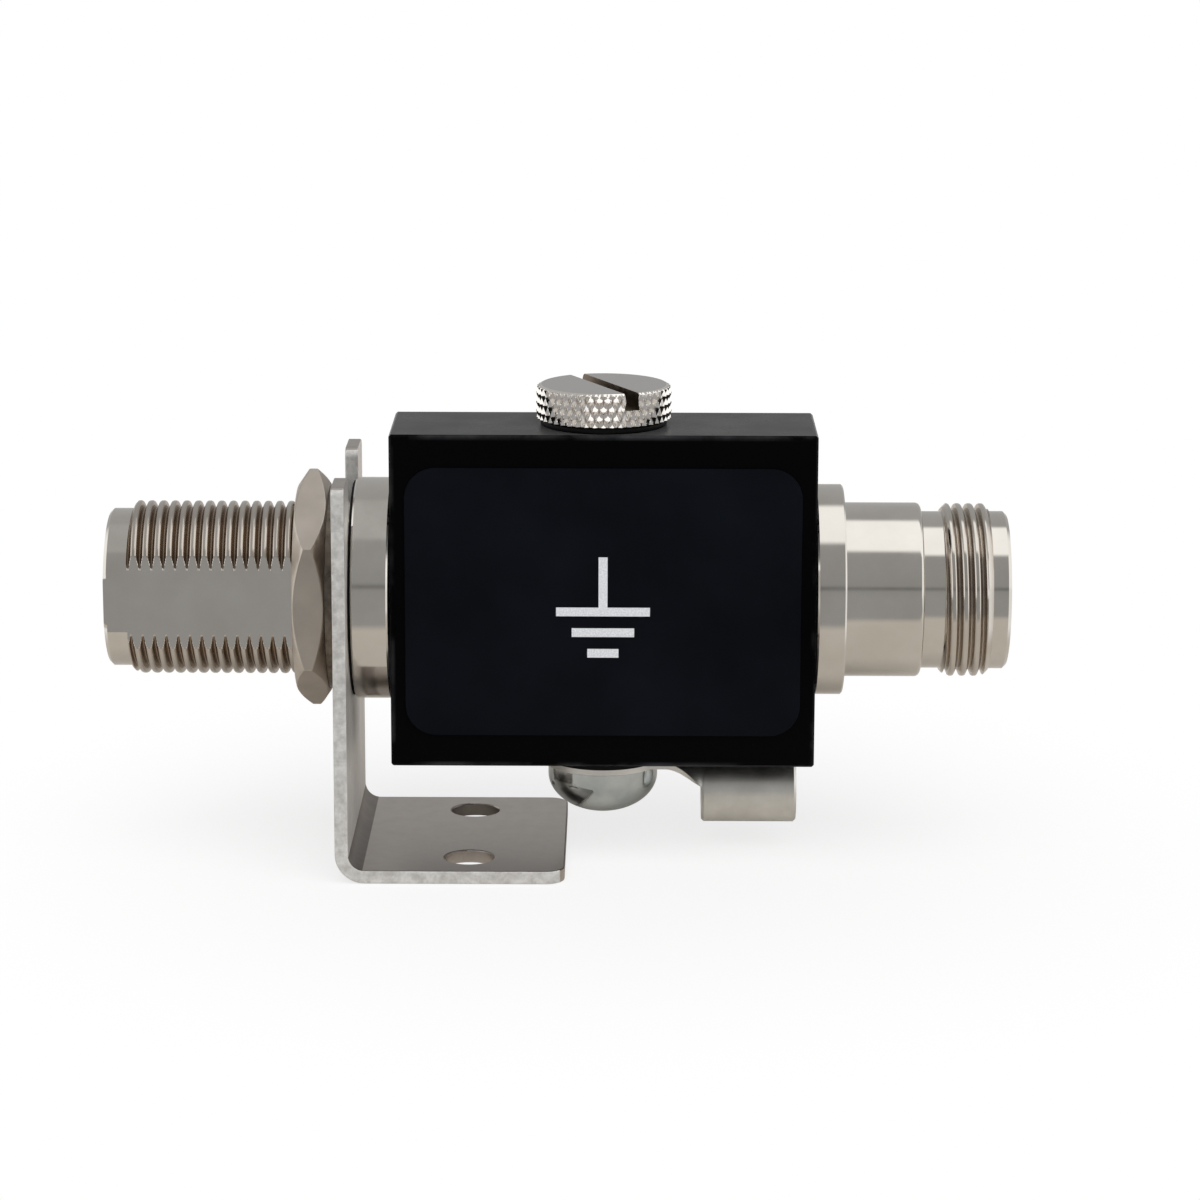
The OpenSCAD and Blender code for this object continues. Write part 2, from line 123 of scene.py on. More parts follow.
def finishMesh(mesh, smoothAngle=usualSmooth):
    work = bmesh.new()
    work.from_mesh(mesh)
    bmesh.ops.remove_doubles(work, verts=work.verts, dist=weld)
    bmesh.ops.dissolve_degenerate(work, edges=work.edges, dist=sliver)
    bmesh.ops.recalc_face_normals(work, faces=work.faces)
    work.to_mesh(mesh)
    work.free()
    mesh.polygons.foreach_set("use_smooth", [True] * len(mesh.polygons))
    mesh.set_sharp_from_angle(angle=math.radians(smoothAngle))
    return mesh


def newObject(name, mesh):
    piece = bpy.data.objects.new(name, mesh)
    scene.collection.objects.link(piece)
    return piece


def bake(holder):
    graph = bpy.context.evaluated_depsgraph_get()
    shown = holder.evaluated_get(graph)
    mesh = bpy.data.meshes.new_from_object(shown, preserve_all_data_layers=True, depsgraph=graph)
    bpy.data.objects.remove(holder)
    return mesh


def dress(name, mesh, material, body, slot, *nodes):
    piece = newObject(name, mesh)
    if material:
        mesh.materials.clear()
        for finish in material if isinstance(material, list) else [material]:
            mesh.materials.append(finish)
    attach(piece, body)
    if nodes:
        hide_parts(*nodes)
    return piece


def combine(mesh, cutter, how="DIFFERENCE", crossed=False):
    holder, tool = newObject("cutHolder", mesh), newObject("cutTool", cutter)
    cut = holder.modifiers.new("cut", "BOOLEAN")
    cut.operation, cut.solver, cut.object, cut.use_self = how, "EXACT", tool, crossed
    cut.material_mode = "TRANSFER"
    result = bake(holder)
    bpy.data.objects.remove(tool)
    return result


def evenNormals(mesh):
    holder = newObject("evenHolder", mesh)
    holder.modifiers.new("even", "WEIGHTED_NORMAL").keep_sharp = True
    return bake(holder)


def roundEdges(mesh, width, segments, sharpAngle):
    holder = newObject("softHolder", mesh)
    bevel = holder.modifiers.new("bevel", "BEVEL")
    bevel.width, bevel.segments = width * mm, segments
    bevel.limit_method, bevel.angle_limit = "ANGLE", math.radians(sharpAngle)
    return bake(holder)


softEdge = {"flatAngle": 0.5, "sharpAngle": 30, "smoothAngle": 24}


def softenedCopy(node, width, segments=2):
    work = bmesh.new()
    work.from_mesh(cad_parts[node].data)
    bmesh.ops.remove_doubles(work, verts=work.verts, dist=sliver)
    flat = math.radians(softEdge["flatAngle"])
    bmesh.ops.dissolve_limit(work, angle_limit=flat, verts=work.verts, edges=work.edges)
    mesh = roundEdges(closeMesh(work, node), width, segments, softEdge["sharpAngle"])
    return evenNormals(finishMesh(mesh, softEdge["smoothAngle"]))


# Materials

def nickelPlate(axis, darkTone, paleTone):
    # bright nickel on turned brass: warm mirror bands, faint tool lines round the axis, grooves tinted brown
    # by grime and painted shade
    material, tree, shader, place = startMaterial("nickelPlate" + "XYZ"[axis])
    stretch = [perMm(8.0)] * 3
    stretch[axis] = perMm(0.07)
    turned = addNode(tree, scaleNode, {"Vector": place, "Scale": stretch})
    lines = addNode(tree, noiseNode, {"Vector": turned, "Scale": 1.0, "Detail": 2.0})
    haze = addNode(tree, noiseNode, {"Vector": place, "Scale": perMm(3.0), "Detail": 4.0})
    clean = addNode(tree, rampNode, {"Fac": haze})
    for stop, at, code in zip(clean.color_ramp.elements, (0.3, 0.7), (darkTone, paleTone)):
        stop.position, stop.color = at, hexColor(code)
    grime = addNode(tree, "ShaderNodeAttribute", attribute_name="grime").outputs["Fac"]
    # brown tint in the grooves: grime and painted shade, read from the turned piece's attribute
    stainedAndShaded = {"Factor": grime, firstColor: clean, secondColor: hexColor("#8A745E")}
    tone = addNode(tree, mixNode, stainedAndShaded, data_type="RGBA").outputs[mixedColor]
    polish = addNode(tree, rangeNode, {
        "Value": haze, "From Min": 0.3, "From Max": 0.7, "To Min": 0.08, "To Max": 0.13})
    rough = addNode(tree, mathNode, [grime, 0.15, polish], operation="MULTIPLY_ADD")
    bump = addNode(tree, bumpNode, {"Height": lines, "Strength": 0.06, "Distance": 0.008 * mm})
    connect(tree, shader, {"Base Color": tone, "Roughness": rough, "Normal": bump})
    shader.inputs["Metallic"].default_value = 1.0
    return material


def blackAnodised():
    # black anodised aluminium, fine milled: deep black with a grey sheen at a low angle and rubbed edges
    material, tree, shader, place = startMaterial("blackAnodisedAluminium")
    stretch = (perMm(3.0), perMm(0.12), perMm(0.12))
    milled = addNode(tree, scaleNode, {"Vector": place, "Scale": stretch})
    grain = addNode(tree, noiseNode, {"Vector": milled, "Scale": 1.0, "Detail": 3.0})
    smudge = addNode(tree, noiseNode, {"Vector": place, "Scale": perMm(5.0), "Detail": 5.0})
    # distance from the nearest edge of the block
    middle = addNode(tree, vectorNode, [place, blockCentre], operation="SUBTRACT")
    folded = addNode(tree, vectorNode, [middle], operation="ABSOLUTE")
    inside = addNode(tree, vectorNode, [(blockHigh - blockLow) / 2, folded], operation="SUBTRACT")
    depth = addNode(tree, splitNode, [inside]).outputs
    low = addNode(tree, mathNode, [depth[0], depth[1]], operation="MINIMUM")
    high = addNode(tree, mathNode, [depth[0], depth[1]], operation="MAXIMUM")
    second = addNode(tree, mathNode, [high, depth[2]], operation="MINIMUM")
    edge = addNode(tree, mathNode, [low, second], operation="MAXIMUM")
    rub = addNode(tree, rangeNode, {
        "Value": edge, "From Min": 0.1 * mm, "From Max": 0.5 * mm, "To Min": 1.0, "To Max": 0.0})
    patch = addNode(tree, rangeNode, {"Value": smudge, "From Min": 0.45, "From Max": 0.7})
    wear = addNode(tree, mathNode, [rub, patch], operation="MULTIPLY")
    tone = addNode(tree, rampNode, {"Fac": wear})
    for stop, code in zip(tone.color_ramp.elements, ("#020203", "#3A3A3C")):
        stop.color = hexColor(code)
    rough = addNode(tree, rangeNode, {
        "Value": smudge, "From Min": 0.3, "From Max": 0.7, "To Min": 0.24, "To Max": 0.34})
    bump = addNode(tree, bumpNode, {"Height": grain, "Strength": 0.12, "Distance": 0.01 * mm})
    connect(tree, shader, {"Base Color": tone, "Roughness": rough, "Normal": bump})
    shader.inputs["Specular IOR Level"].default_value = 0.03
    shader.inputs["Sheen Weight"].default_value = 0.26  # dust that pales the black at a low angle
    shader.inputs["Sheen Roughness"].default_value = 0.35
    return material


def labelFilm():
    # printed polyester film under a clear satin coat: blue black with a faint orange peel
    material, tree, shader, place = startMaterial("labelFilm")
    peel = addNode(tree, noiseNode, {"Vector": place, "Scale": perMm(0.5), "Detail": 2.0})
    cloud = addNode(tree, noiseNode, {"Vector": place, "Scale": perMm(9.0), "Detail": 3.0})
    tone = addNode(tree, rampNode, {"Fac": cloud})
    for stop, at, code in zip(tone.color_ramp.elements, (0.3, 0.7), ("#080A0F", "#0D1017")):
        stop.position, stop.color = at, hexColor(code)
    rough = addNode(tree, rangeNode, {
        "Value": cloud, "From Min": 0.3, "From Max": 0.7, "To Min": 0.3, "To Max": 0.4})
    bump = addNode(tree, bumpNode, {"Height": peel, "Strength": 0.08, "Distance": 0.02 * mm})
    connect(tree, shader, {"Base Color": tone, "Roughness": rough, "Normal": bump})
    shader.inputs["Specular IOR Level"].default_value = 0.05
    return material


def silverInk():
    # screen printed silver ink: pale grey with a fine metallic grain
    material, tree, shader, place = startMaterial("silverInk")
    flake = addNode(tree, noiseNode, {"Vector": place, "Scale": perMm(0.12), "Detail": 2.0})
    tone = addNode(tree, rampNode, {"Fac": flake})
    for stop, at, code in zip(tone.color_ramp.elements, (0.3, 0.7), ("#C4C6CA", "#E6E7EA")):
        stop.position, stop.color = at, hexColor(code)
    connect(tree, shader, {"Base Color": tone})
    shader.inputs["Roughness"].default_value = 0.5
    return material


def zincSheet(name, darkTone, paleTone, lowRough, highRough, bumpDepth, metallic=1.0, cloudSize=1.6):
    # zinc plated steel sheet: soft grey sheen with cloudy mottling and small bright specks
    material, tree, shader, place = startMaterial(name)
    cloud = addNode(tree, noiseNode, {
        "Vector": place, "Scale": perMm(cloudSize), "Detail": 5.0, "Roughness": 0.6})
    speck = addNode(tree, noiseNode, {"Vector": place, "Scale": perMm(0.35), "Detail": 3.0})
    tone = addNode(tree, rampNode, {"Fac": cloud})
    for stop, at, code in zip(tone.color_ramp.elements, (0.35, 0.65), (darkTone, paleTone)):
        stop.position, stop.color = at, hexColor(code)
    rough = addNode(tree, rangeNode, {
        "Value": cloud, "From Min": 0.3, "From Max": 0.7, "To Min": lowRough, "To Max": highRough})
    bump = addNode(tree, bumpNode, {"Height": speck, "Strength": 0.35, "Distance": bumpDepth * mm})
    connect(tree, shader, {"Base Color": tone, "Roughness": rough, "Normal": bump})
    shader.inputs["Metallic"].default_value = metallic
    return material


def plainMetal(name, darkTone, paleTone, lowRough, highRough, cloudSize, scratchDepth=0.01):
    # small plated and turned pieces: clouded tone and gloss with a fine scratch grain
    material, tree, shader, place = startMaterial(name)
    cloud = addNode(tree, noiseNode, {"Vector": place, "Scale": perMm(cloudSize), "Detail": 4.0})
    stretch = (perMm(4.0), perMm(0.1), perMm(0.1))
    drawn = addNode(tree, scaleNode, {"Vector": place, "Scale": stretch})
    scratch = addNode(tree, noiseNode, {"Vector": drawn, "Scale": 1.0, "Detail": 2.0})
    tone = addNode(tree, rampNode, {"Fac": cloud})
    for stop, at, code in zip(tone.color_ramp.elements, (0.32, 0.68), (darkTone, paleTone)):
        stop.position, stop.color = at, hexColor(code)
    rough = addNode(tree, rangeNode, {
        "Value": cloud, "From Min": 0.3, "From Max": 0.7, "To Min": lowRough, "To Max": highRough})
    bump = addNode(tree, bumpNode, {"Height": scratch, "Strength": 0.1, "Distance": scratchDepth * mm})
    connect(tree, shader, {"Base Color": tone, "Roughness": rough, "Normal": bump})
    shader.inputs["Metallic"].default_value = 1.0
    return material


def plainSolid(name, darkTone, paleTone, rough, cloudSize, bumpDepth, gloss=0.5):
    # rubber, fluoropolymer and ceramic: matt body with a slight mottle and skin
    material, tree, shader, place = startMaterial(name)
    cloud = addNode(tree, noiseNode, {"Vector": place, "Scale": perMm(cloudSize), "Detail": 4.0})
    tone = addNode(tree, rampNode, {"Fac": cloud})
    for stop, at, code in zip(tone.color_ramp.elements, (0.32, 0.68), (darkTone, paleTone)):
        stop.position, stop.color = at, hexColor(code)
    bump = addNode(tree, bumpNode, {"Height": cloud, "Strength": 0.2, "Distance": bumpDepth * mm})
    connect(tree, shader, {"Base Color": tone, "Normal": bump})
    shader.inputs["Roughness"].default_value = rough
    shader.inputs["Specular IOR Level"].default_value = gloss
    return material


nickelAlongLine = nickelPlate(0, "#D6D1C9", "#DDD9D2")
# paler than the jacks' copy of the same plating: painted light on the cap
nickelUprightPaintedLight = nickelPlate(2, "#F3EEE8", "#F8F4EF")
anodised = blackAnodised()
film = labelFilm()
ink = silverInk()
sheetFace = zincSheet("zincSheetFace", "#B8B1AA", "#C4BDB6", 0.32, 0.4, 0.004)
sheetEdge = zincSheet("zincSheetEdge", "#BEBCB8", "#DEDDDA", 0.42, 0.6, 0.02, 0.45, 0.7)
# paler copy for the leg's inner face: painted light
sheetLegPaintedLight = zincSheet("zincSheetLegPaintedLight", "#DEDAD5", "#EAE7E3", 0.4, 0.5, 0.004, 0.7)
# darker copy for the inside of the bend: painted shade in the crease
sheetBendPaintedShade = zincSheet("zincSheetBendPaintedShade", "#77706A", "#8C847D", 0.4, 0.5, 0.004)
tinnedCopper = plainMetal("tinnedCopper", "#DAD9D4", "#E9E8E4", 0.4, 0.5, 2.0, 0.06)
blueZinc = plainMetal("blueZincSteel", "#B6BEC0", "#D2D7D7", 0.07, 0.11, 2.5)
# dark brown tone: painted shade of the gap between the nut and the bracket
washerSteelPaintedShade = plainMetal("lockWasherPaintedShade", "#5E564D", "#857C71", 0.25, 0.36, 1.0)
springSteel = plainMetal("polishedSpringSteel", "#B5B1AA", "#D0CCC5", 0.2, 0.3, 1.0)
dullNickel = plainMetal("dullNickelPlate", "#C4BBB0", "#D2C9BE", 0.38, 0.48, 3.0)
facedNickel = plainMetal("facedNickelPlate", "#C2BFBB", "#CCC9C5", 0.18, 0.26, 2.0)
slotNickel = plainMetal("sawnNickelBrass", "#6B5F52", "#85786A", 0.3, 0.45, 0.8)
silverPlate = plainMetal("silverPlatedBrass", "#CFC8B8", "#E6E0D2", 0.16, 0.26, 1.5)
blackRubber = plainSolid("blackRubber", "#030303", "#080808", 0.6, 0.5, 0.02, 0.15)
fluoropolymer = plainSolid("whiteFluoropolymer", "#DEDCD6", "#EFEEEA", 0.4, 0.9, 0.01)
ceramic = plainSolid("glazedCeramic", "#E2DDD2", "#F1EEE6", 0.25, 1.1, 0.005)
print("materials ready")


# Turned pieces: one tree revolves a section, follows the thread's helix, rolls the knurl and mills the flats

threadProfile = [(0, 0), (0.22, 0), (0.48, 0.13), (0.9, 0.99), (1, 1)]  # crest to root: land, shoulder, flank
# how far the grime and painted shade reach from the thread's root and into the knurl's crossings
grooves = {"knurlLand": 0.06, "crestGrimeAndShade": 0.3, "grimeFull": 0.44, "crossFrom": 0.25, "crossTo": 0.47}


def buildTurnedTree():
    tree = bpy.data.node_groups.new("turnedPiece", "GeometryNodeTree")
    kinds = {"Section": "NodeSocketGeometry", "Segments": "NodeSocketInt", "Finish": "NodeSocketMaterial"}
    for label in (
        "Section", "Segments", "Pitch", "Depth", "Thread From", "Thread To", "Thread Start", "Lead In",
        "Flat Half", "Flats To", "Knurl Columns", "Knurl Height", "Knurl Depth", "Grime And Shade", "Finish",
    ):
        kind = kinds.get(label, "NodeSocketFloat")
        tree.interface.new_socket(label, in_out="INPUT", socket_type=kind)
    tree.interface.new_socket("Piece", in_out="OUTPUT", socket_type="NodeSocketGeometry")
    given = addNode(tree, "NodeGroupInput").outputs
    # a grid with one row for each point of the section, and one column for each step of the turn
    columns = addNode(tree, mathNode, [given["Segments"], 1], operation="ADD")
    rows = addNode(tree, "GeometryNodeAttributeDomainSize", [given["Section"]], component="MESH")
    grid = addNode(tree, "GeometryNodeMeshGrid", {
        "Vertices X": rows.outputs["Point Count"], "Vertices Y": columns})
    index = addNode(tree, "GeometryNodeInputIndex")
    centre = addNode(tree, mathNode, [index, 0.5], operation="ADD")
    share = addNode(tree, mathNode, [centre, columns], operation="DIVIDE")
    row = addNode(tree, mathNode, [share], operation="FLOOR")
    passed = addNode(tree, mathNode, [row, columns], operation="MULTIPLY")
    column = addNode(tree, mathNode, [index, passed], operation="SUBTRACT")
    turn = addNode(tree, mathNode, [column, given["Segments"]], operation="DIVIDE")
    place = addNode(tree, "GeometryNodeSampleIndex", {
        "Geometry": given["Section"], "Value": addNode(tree, "GeometryNodeInputPosition"), "Index": row,
    }, data_type="FLOAT_VECTOR")
    section = addNode(tree, splitNode, [place]).outputs
    station, radius = section[0], section[1]
    marks = {}
    for mark in ("threaded", "knurled"):
        named = addNode(tree, "GeometryNodeInputNamedAttribute", {"Name": mark}, data_type="FLOAT")
        marks[mark] = addNode(tree, "GeometryNodeSampleIndex", {
            "Geometry": given["Section"], "Value": named.outputs["Attribute"], "Index": row,
        }, data_type="FLOAT")
    # threaded rows climb one pitch per turn and stop at the thread's ends
    climb = addNode(tree, mathNode, [turn, given["Pitch"], station], operation="MULTIPLY_ADD")
    held = addNode(tree, "ShaderNodeClamp", [climb, given["Thread From"], given["Thread To"]])
    along = addNode(tree, mixNode, {
        "Factor": marks["threaded"], "A": station, "B": held}, data_type="FLOAT").outputs[0]
    started = addNode(tree, mathNode, [turn, given["Thread Start"]], operation="ADD")
    pitches = addNode(tree, mathNode, [along, given["Pitch"]], operation="DIVIDE")
    wound = addNode(tree, mathNode, [pitches, started], operation="SUBTRACT")
    phase = addNode(tree, mathNode, [wound], operation="FRACT")
    offCrest = addNode(tree, mathNode, [phase, 0.5], operation="SUBTRACT")
    fall = addNode(tree, mathNode, [offCrest], operation="ABSOLUTE")  # 0 on the crest, 0.5 at the root
    crestToRoot = addNode(tree, mathNode, [fall, 2.0], operation="MULTIPLY")
    ridge = addNode(tree, "ShaderNodeFloatCurve", {"Value": crestToRoot})
    for at, drop in threadProfile[1:-1]:
        ridge.mapping.curves[0].points.new(at, drop)
    for knot in ridge.mapping.curves[0].points:
        knot.handle_type = "VECTOR"
    ridge.mapping.update()
    groove = addNode(tree, mathNode, [ridge, given["Depth"]], operation="MULTIPLY")
    fromStart = addNode(tree, mathNode, [along, given["Thread From"]], operation="SUBTRACT")
    fromEnd = addNode(tree, mathNode, [given["Thread To"], along], operation="SUBTRACT")
    nearEnd = addNode(tree, mathNode, [fromStart, fromEnd], operation="MINIMUM")
    lead = addNode(tree, mathNode, [given["Lead In"], nearEnd], operation="SUBTRACT")
    cutDepth = addNode(tree, mathNode, [groove, lead], operation="MAXIMUM")
    threadCut = addNode(tree, mathNode, [marks["threaded"], cutDepth], operation="MULTIPLY")
    # two families of slanting grooves make the knurl's diamonds
    sweep = addNode(tree, mathNode, [turn, given["Knurl Columns"]], operation="MULTIPLY")
    slant = addNode(tree, mathNode, [station, given["Knurl Height"]], operation="DIVIDE")
    falls = []
    for operation in ("ADD", "SUBTRACT"):
        crossed = addNode(tree, mathNode, [sweep, slant], operation=operation)
        lane = addNode(tree, mathNode, [crossed], operation="FRACT")
        offRidge = addNode(tree, mathNode, [lane, 0.5], operation="SUBTRACT")
        falls.append(addNode(tree, mathNode, [offRidge], operation="ABSOLUTE"))
    deepest = addNode(tree, mathNode, falls, operation="MAXIMUM")
    valley = addNode(tree, rangeNode, {
        "Value": deepest, "From Min": grooves["knurlLand"], "From Max": 0.5,
        "To Min": 0.0, "To Max": given["Knurl Depth"]})
    knurlCut = addNode(tree, mathNode, [marks["knurled"], valley], operation="MULTIPLY")
    cut = addNode(tree, mathNode, [threadCut, knurlCut], operation="ADD")
    reach = addNode(tree, mathNode, [radius, cut], operation="SUBTRACT")
    angle = addNode(tree, mathNode, [turn, 2 * math.pi], operation="MULTIPLY")
    cosine = addNode(tree, mathNode, [angle], operation="COSINE")
    sine = addNode(tree, mathNode, [angle], operation="SINE")
    across = addNode(tree, mathNode, [reach, cosine], operation="MULTIPLY")
    upwards = addNode(tree, mathNode, [reach, sine], operation="MULTIPLY")
    # the flats hold the width down as far as their end
    past = addNode(tree, mathNode, [along, given["Flats To"]], operation="GREATER_THAN")
    half = addNode(tree, mathNode, [past, given["Flat Half"]], operation="ADD")
    otherHalf = addNode(tree, mathNode, [half, -1.0], operation="MULTIPLY")
    milled = addNode(tree, "ShaderNodeClamp", [across, otherHalf, half])
    point = addNode(tree, "ShaderNodeCombineXYZ", [along, milled, upwards])
    shaped = addNode(tree, "GeometryNodeSetPosition", {"Geometry": grid, "Position": point})
    # grime and painted shade tint the thread, most at its root, and where the knurl's grooves cross, not on
    # the flats
    root = addNode(tree, rangeNode, {
        "Value": fall, "From Min": 0.0, "From Max": grooves["grimeFull"],
        "To Min": grooves["crestGrimeAndShade"], "To Max": 1.0}, interpolation_type="SMOOTHSTEP")
    shallowest = addNode(tree, mathNode, falls, operation="MINIMUM")
    crossing = addNode(tree, rangeNode, {
        "Value": shallowest, "From Min": grooves["crossFrom"], "From Max": grooves["crossTo"],
    }, interpolation_type="SMOOTHSTEP")
    inKnurl = addNode(tree, mathNode, [marks["knurled"], crossing], operation="MULTIPLY")
    groovesDarkened = addNode(tree, mathNode, [marks["threaded"], root, inKnurl], operation="MULTIPLY_ADD")
    width = addNode(tree, mathNode, [across], operation="ABSOLUTE")
    offFlat = addNode(tree, mathNode, [width, half], operation="LESS_THAN")
    spread = addNode(tree, mathNode, [groovesDarkened, given["Grime And Shade"]], operation="MULTIPLY")
    grime = addNode(tree, mathNode, [spread, offFlat], operation="MULTIPLY")
    stainedAndShaded = addNode(tree, "GeometryNodeStoreNamedAttribute", {
        "Geometry": shaped, "Name": "grime", "Value": grime}, data_type="FLOAT", domain="POINT")
    closed = addNode(tree, "GeometryNodeMergeByDistance", {"Geometry": stainedAndShaded, "Distance": weld})
    solid = addNode(tree, "GeometryNodeRealizeInstances", [closed])
    finished = addNode(tree, "GeometryNodeSetMaterial", {"Geometry": solid, "Material": given["Finish"]})
    addNode(tree, "NodeGroupOutput", [finished])
    return tree


turnedTree = buildTurnedTree()


def threadRows(start, end, radius, pitch, perTurn):
    count = math.ceil((end - start + pitch) / pitch * perTurn)
    return [(start - pitch + i * pitch / perTurn, radius, 1, 0) for i in range(count + 1)]


def turnedMesh(name, rows, finish, **sizes):
    # rows hold station and radius in millimetres, then marks for thread and knurl
    rows = [tuple(row) + (0, 0) if len(row) == 2 else row for row in rows]
    if rows[0][1] > 0:
        rows = rows + [rows[0]]
    mesh = bpy.data.meshes.new(name + "Section")
    mesh.from_pydata([(row[0] * mm, row[1] * mm, 0) for row in rows], [], [])
    for position, mark in ((2, "threaded"), (3, "knurled")):
        layer = mesh.attributes.new(mark, "FLOAT", "POINT")
        layer.data.foreach_set("value", [float(row[position]) for row in rows])
    holder = newObject(name + "Section", mesh)
    modifier = holder.modifiers.new("turned", "NODES")
    modifier.node_group = turnedTree
    values = {
        "Segments": sizes["segments"], "Thread Start": sizes.get("threadStart", 0.0),
        "Knurl Columns": float(sizes.get("knurlColumns", 1)), "Grime And Shade": sizes.get("grime", 1.0),
        "Finish": finish,
    }
    lengths = {
        "pitch": "Pitch", "depth": "Depth", "threadFrom": "Thread From", "threadTo": "Thread To",
        "leadIn": "Lead In", "flatHalf": "Flat Half", "flatsTo": "Flats To",
        "knurlHeight": "Knurl Height", "knurlDepth": "Knurl Depth",
    }
    neutral = {"pitch": 1.0, "flatHalf": 500.0, "flatsTo": -500.0, "knurlHeight": 1.0}  # flats out of reach
    for key, label in lengths.items():
        values[label] = sizes.get(key, neutral.get(key, 0.0)) * mm
    for item in turnedTree.interface.items_tree:
        if item.in_out == "INPUT" and item.name in values:
            modifier[item.identifier] = values[item.name]
    return finishMesh(bake(holder), sizes.get("smoothAngle", usualSmooth))


def alongLine(mesh):
    mesh.transform(Matrix.Translation(blockCentre))
    return mesh


def upright(mesh):
    mesh.transform(Matrix.Translation(blockCentre) @ Matrix.Rotation(math.radians(-90), 4, "Y"))
    return mesh


# Bulkhead jack

bulkhead = {
    "threadRadius": 7.85, "pitch": 1.0583, "depth": 0.6, "leadIn": 0.4, "threadStart": 0.475, "grime": 0.78,
    "noseRadius": 7.15, "noseLength": 2.1, "noseChamfer": 0.3, "mouthRadius": 4.3, "mouthDepth": 5.0,
    "mouthChamfer": 0.3, "boreRadius": 4.05, "spigotRadius": 5.0, "flangeThickness": 3.3, "rimChamfer": 0.15,
    "flatWidth": 13.2, "flatGap": 0.001, "segments": 240, "rowsPerTurn": 20, "smoothAngle": 15,
}


def jackBack(size, spigotEnd, face, flangeRadius, flangeEnd):
    # spigot in the block, then the flange or collar from the block's face to its own outer face
    outward = math.copysign(1, flangeEnd - face)
    rim = size["rimChamfer"]
    return [
        (spigotEnd, size["boreRadius"]), (spigotEnd, size["spigotRadius"]), (face, size["spigotRadius"]),
        (face, flangeRadius - rim), (face + outward * rim, flangeRadius),
        (flangeEnd - outward * rim, flangeRadius), (flangeEnd, flangeRadius - rim),
    ]


def jackFront(size, threadEnd, tip):
    # nose and stepped socket, from the thread's end round the tip and inwards
    inward = math.copysign(1, threadEnd - tip)
    nose, mouth, depth = size["noseChamfer"], size["mouthChamfer"], size["mouthDepth"]
    return [
        (threadEnd, size["noseRadius"]), (tip + inward * nose, size["noseRadius"]),
        (tip, size["noseRadius"] - nose), (tip, size["mouthRadius"] + mouth),
        (tip + inward * mouth, size["mouthRadius"]), (tip + inward * depth, size["mouthRadius"]),
        (tip + inward * depth, size["boreRadius"]),
    ]


def bulkheadJack(size):
    low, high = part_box("bulkhead_jack")
    tip, spigotEnd = fromBlock(low.x, 0), fromBlock(high.x, 0)
    face = fromBlock(blockLow.x, 0)
    flangeLeft = face - size["flangeThickness"]
    threadLeft = tip + size["noseLength"]
    rows = jackBack(size, spigotEnd, face, (high.z - low.z) / 2 / mm, flangeLeft)
    rows += [(flangeLeft, size["threadRadius"] - size["depth"])]
    rows += threadRows(
        threadLeft, flangeLeft, size["threadRadius"], size["pitch"], size["rowsPerTurn"])[::-1]
    rows += jackFront(size, threadLeft, tip)
    return alongLine(turnedMesh(
        "bulkheadJack", rows, nickelAlongLine, segments=size["segments"], pitch=size["pitch"],
        depth=size["depth"], threadFrom=threadLeft, threadTo=flangeLeft, threadStart=size["threadStart"],
        leadIn=size["leadIn"], grime=size["grime"], smoothAngle=size["smoothAngle"],
        flatHalf=size["flatWidth"] / 2, flatsTo=flangeLeft - size["flatGap"]))


dress("bulkheadJack", bulkheadJack(bulkhead), nickelAlongLine, "housing", "nickel_plate", "bulkhead_jack")

# Plain jack, whose thread and mouth are the bulkhead jack's

plain = {
    "collarThickness": 2.55, "barrelRadius": 7.9, "barrelLength": 7.05, "barrelRound": 0.45, "roundSteps": 8,
    "reliefRadius": 7.12, "reliefLength": 1.85, "threadLength": 4.3, "leadIn": 0.5, "threadStart": 0.59,
    "grime": 0.42, "segments": 256,
}


def plainJack(size, shared):
    low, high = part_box("plain_jack")
    tip, spigotEnd = fromBlock(high.x, 0), fromBlock(low.x, 0)
    face = fromBlock(blockHigh.x, 0)
    collarRight = face + size["collarThickness"]
    barrelRight = collarRight + size["barrelLength"]
    reliefRight = barrelRight + size["reliefLength"]
    threadRight = reliefRight + size["threadLength"]
    barrel, end = size["barrelRadius"], size["barrelRound"]
    rounded = [math.radians(90) * i / size["roundSteps"] for i in range(size["roundSteps"] + 1)]
    rows = jackBack(shared, spigotEnd, face, (high.z - low.z) / 2 / mm, collarRight)
    rows += [(collarRight, barrel)]
    rows += [(barrelRight - end * (1 - math.sin(a)), barrel - end * (1 - math.cos(a))) for a in rounded]
    rows += [(barrelRight, size["reliefRadius"]), (reliefRight, size["reliefRadius"])]
    rows += threadRows(
        reliefRight, threadRight, shared["threadRadius"], shared["pitch"], shared["rowsPerTurn"])
    rows += jackFront(shared, threadRight, tip)
    return alongLine(turnedMesh(
        "plainJack", rows, nickelAlongLine, segments=size["segments"], pitch=shared["pitch"],
        depth=shared["depth"], threadFrom=reliefRight, threadTo=threadRight,
        threadStart=size["threadStart"], leadIn=size["leadIn"], grime=size["grime"],
        smoothAngle=shared["smoothAngle"]))


dress("plainJack", plainJack(plain, bulkhead), nickelAlongLine, "housing", "nickel_plate", "plain_jack")
print("jacks turned")

# Gas tube cap

cap = {
    "headHeight": 3.1, "rimChamfer": 0.18, "lowChamfer": 0.12, "crownStep": 0.06, "crownEdge": 0.16,
    "slotWidth": 1.35, "slotDepth": 1.5, "slotAngle": 25.6, "topDepth": 0.1, "topTilt": 0.95, "grime": 0.75,
    "knurlColumns": 46, "knurlHeight": 1.65, "knurlDepth": 0.3, "stepsAcross": 12, "stepsUp": 16,
    "shankRadius": 4.95, "reliefRadius": 4.35, "reliefLength": 0.6, "letIn": 0.3, "pitch": 1.0, "depth": 0.5,
    "leadIn": 0.4, "segments": 128, "rowsPerTurn": 12, "smoothAngle": 28,
}


